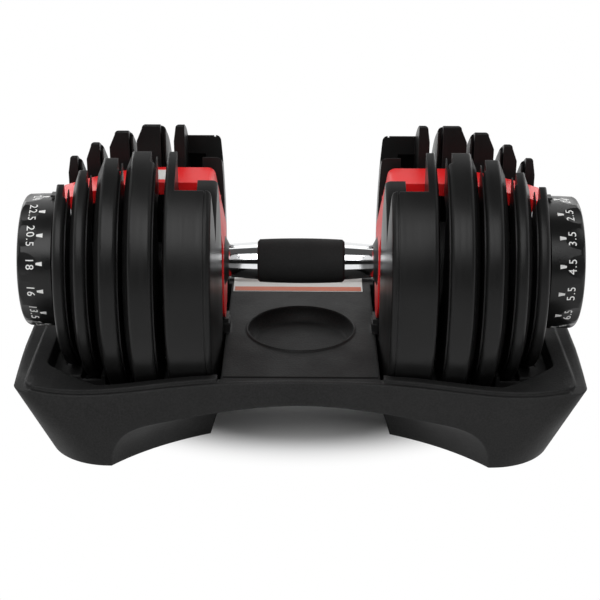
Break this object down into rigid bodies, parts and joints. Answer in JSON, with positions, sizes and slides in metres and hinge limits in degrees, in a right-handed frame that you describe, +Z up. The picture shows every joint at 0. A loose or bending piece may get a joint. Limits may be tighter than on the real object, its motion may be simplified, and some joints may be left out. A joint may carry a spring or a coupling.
{
  "type": "adjustable dumbbell",
  "caption": "Adjustable dumbbell with dial-selected weight plates at both ends of a gripped handle, standing in a moulded storage tray.",
  "frame": {"origin": "middle of the floor under the tray, on the pads' lower faces", "axes": "+X along the handle towards the right dial, -Y towards the front of the picture, +Z up"},
  "size_m": [0.3984, 0.197, 0.2124],
  "materials": {
    "tray_plastic": "fine-grained matte moulding",
    "pad_rubber": "matte",
    "chrome": "polished",
    "grip_rubber": "matte",
    "steel": "plain",
    "frame_red": "satin moulding",
    "black_plastic": "satin moulding",
    "dial_black": "satin moulding",
    "plate_black": "satin black coat"
  },
  "bodies": {
    "base": {"tray": "tray_plastic", "tray_pads": "pad_rubber"},
    "handle": {"handle_tube": "chrome", "grip": "grip_rubber", "core_rod": "steel", "frame_screws": "steel", "end_screws": "steel", "right_collar": "black_plastic", "right_end_frame": "frame_red", "right_lock_retainer": "black_plastic", "right_lock_spring": "steel", "right_outer_bracket": "black_plastic", "right_end_washer": "steel", "left_collar": "black_plastic", "left_end_frame": "frame_red", "left_lock_retainer": "black_plastic", "left_lock_spring": "steel", "left_outer_bracket": "black_plastic", "left_end_washer": "steel"},
    "dial_right": {"right_dial": "dial_black", "right_dial_cap": "dial_black", "right_selector_sleeve": "steel", "right_lock_ring": "black_plastic", "right_selector_disc_1": "black_plastic", "right_selector_disc_2": "black_plastic", "right_selector_disc_3": "black_plastic", "right_selector_disc_4": "black_plastic", "right_selector_disc_5": "black_plastic"},
    "lock_right": {"right_lock_yoke": "black_plastic"},
    "plate_1_right": {"right_plate_1": "plate_black"},
    "plate_2_right": {"right_plate_2": "plate_black"},
    "plate_3_right": {"right_plate_3": "plate_black"},
    "plate_4_right": {"right_plate_4": "plate_black"},
    "plate_5_right": {"right_plate_5": "plate_black"},
    "dial_left": {"left_dial": "dial_black", "left_dial_cap": "dial_black", "left_selector_sleeve": "steel", "left_lock_ring": "black_plastic", "left_selector_disc_1": "black_plastic", "left_selector_disc_2": "black_plastic", "left_selector_disc_3": "black_plastic", "left_selector_disc_4": "black_plastic", "left_selector_disc_5": "black_plastic"},
    "lock_left": {"left_lock_yoke": "black_plastic"},
    "plate_1_left": {"left_plate_1": "plate_black"},
    "plate_2_left": {"left_plate_2": "plate_black"},
    "plate_3_left": {"left_plate_3": "plate_black"},
    "plate_4_left": {"left_plate_4": "plate_black"},
    "plate_5_left": {"left_plate_5": "plate_black"}
  },
  "joints": [
    {"name": "handle_lift", "type": "slide", "parent": "base", "child": "handle", "axis": [0, 0, 1], "range_m": [0, 0.25]},
    {"name": "dial_right_turn", "type": "hinge", "parent": "handle", "child": "dial_right", "pos_m": [0.187, 0, 0.1195], "axis": [1, 0, 0], "continuous": true},
    {"name": "lock_right_slide", "type": "slide", "parent": "handle", "child": "lock_right", "axis": [0, 0, 1], "range_m": [-0.0024, 0], "deforming": ["right_lock_spring"]},
    {"name": "plate_1_right_lift", "type": "slide", "parent": "base", "child": "plate_1_right", "axis": [0, 0, 1], "range_m": [0, 0.25]},
    {"name": "plate_2_right_lift", "type": "slide", "parent": "base", "child": "plate_2_right", "axis": [0, 0, 1], "range_m": [0, 0.25]},
    {"name": "plate_3_right_lift", "type": "slide", "parent": "base", "child": "plate_3_right", "axis": [0, 0, 1], "range_m": [0, 0.25]},
    {"name": "plate_4_right_lift", "type": "slide", "parent": "base", "child": "plate_4_right", "axis": [0, 0, 1], "range_m": [0, 0.25]},
    {"name": "plate_5_right_lift", "type": "slide", "parent": "base", "child": "plate_5_right", "axis": [0, 0, 1], "range_m": [0, 0.25]},
    {"name": "dial_left_turn", "type": "hinge", "parent": "handle", "child": "dial_left", "pos_m": [-0.187, 0, 0.1195], "axis": [-1, 0, 0], "continuous": true},
    {"name": "lock_left_slide", "type": "slide", "parent": "handle", "child": "lock_left", "axis": [0, 0, 1], "range_m": [-0.0024, 0], "deforming": ["left_lock_spring"]},
    {"name": "plate_1_left_lift", "type": "slide", "parent": "base", "child": "plate_1_left", "axis": [0, 0, 1], "range_m": [0, 0.25]},
    {"name": "plate_2_left_lift", "type": "slide", "parent": "base", "child": "plate_2_left", "axis": [0, 0, 1], "range_m": [0, 0.25]},
    {"name": "plate_3_left_lift", "type": "slide", "parent": "base", "child": "plate_3_left", "axis": [0, 0, 1], "range_m": [0, 0.25]},
    {"name": "plate_4_left_lift", "type": "slide", "parent": "base", "child": "plate_4_left", "axis": [0, 0, 1], "range_m": [0, 0.25]},
    {"name": "plate_5_left_lift", "type": "slide", "parent": "base", "child": "plate_5_left", "axis": [0, 0, 1], "range_m": [0, 0.25]}
  ],
  "couplings": [
    {"joint": "lock_right_slide", "follows": "handle_lift", "ratio": -0.0096},
    {"joint": "plate_1_right_lift", "follows": "handle_lift", "ratio": 1},
    {"joint": "plate_2_right_lift", "follows": "handle_lift", "ratio": 1},
    {"joint": "plate_3_right_lift", "follows": "handle_lift", "ratio": 1},
    {"joint": "plate_4_right_lift", "follows": "handle_lift", "ratio": 1},
    {"joint": "plate_5_right_lift", "follows": "handle_lift", "ratio": 1},
    {"joint": "lock_left_slide", "follows": "handle_lift", "ratio": -0.0096},
    {"joint": "plate_1_left_lift", "follows": "handle_lift", "ratio": 1},
    {"joint": "plate_2_left_lift", "follows": "handle_lift", "ratio": 1},
    {"joint": "plate_3_left_lift", "follows": "handle_lift", "ratio": 1},
    {"joint": "plate_4_left_lift", "follows": "handle_lift", "ratio": 1},
    {"joint": "plate_5_left_lift", "follows": "handle_lift", "ratio": 1}
  ]
}
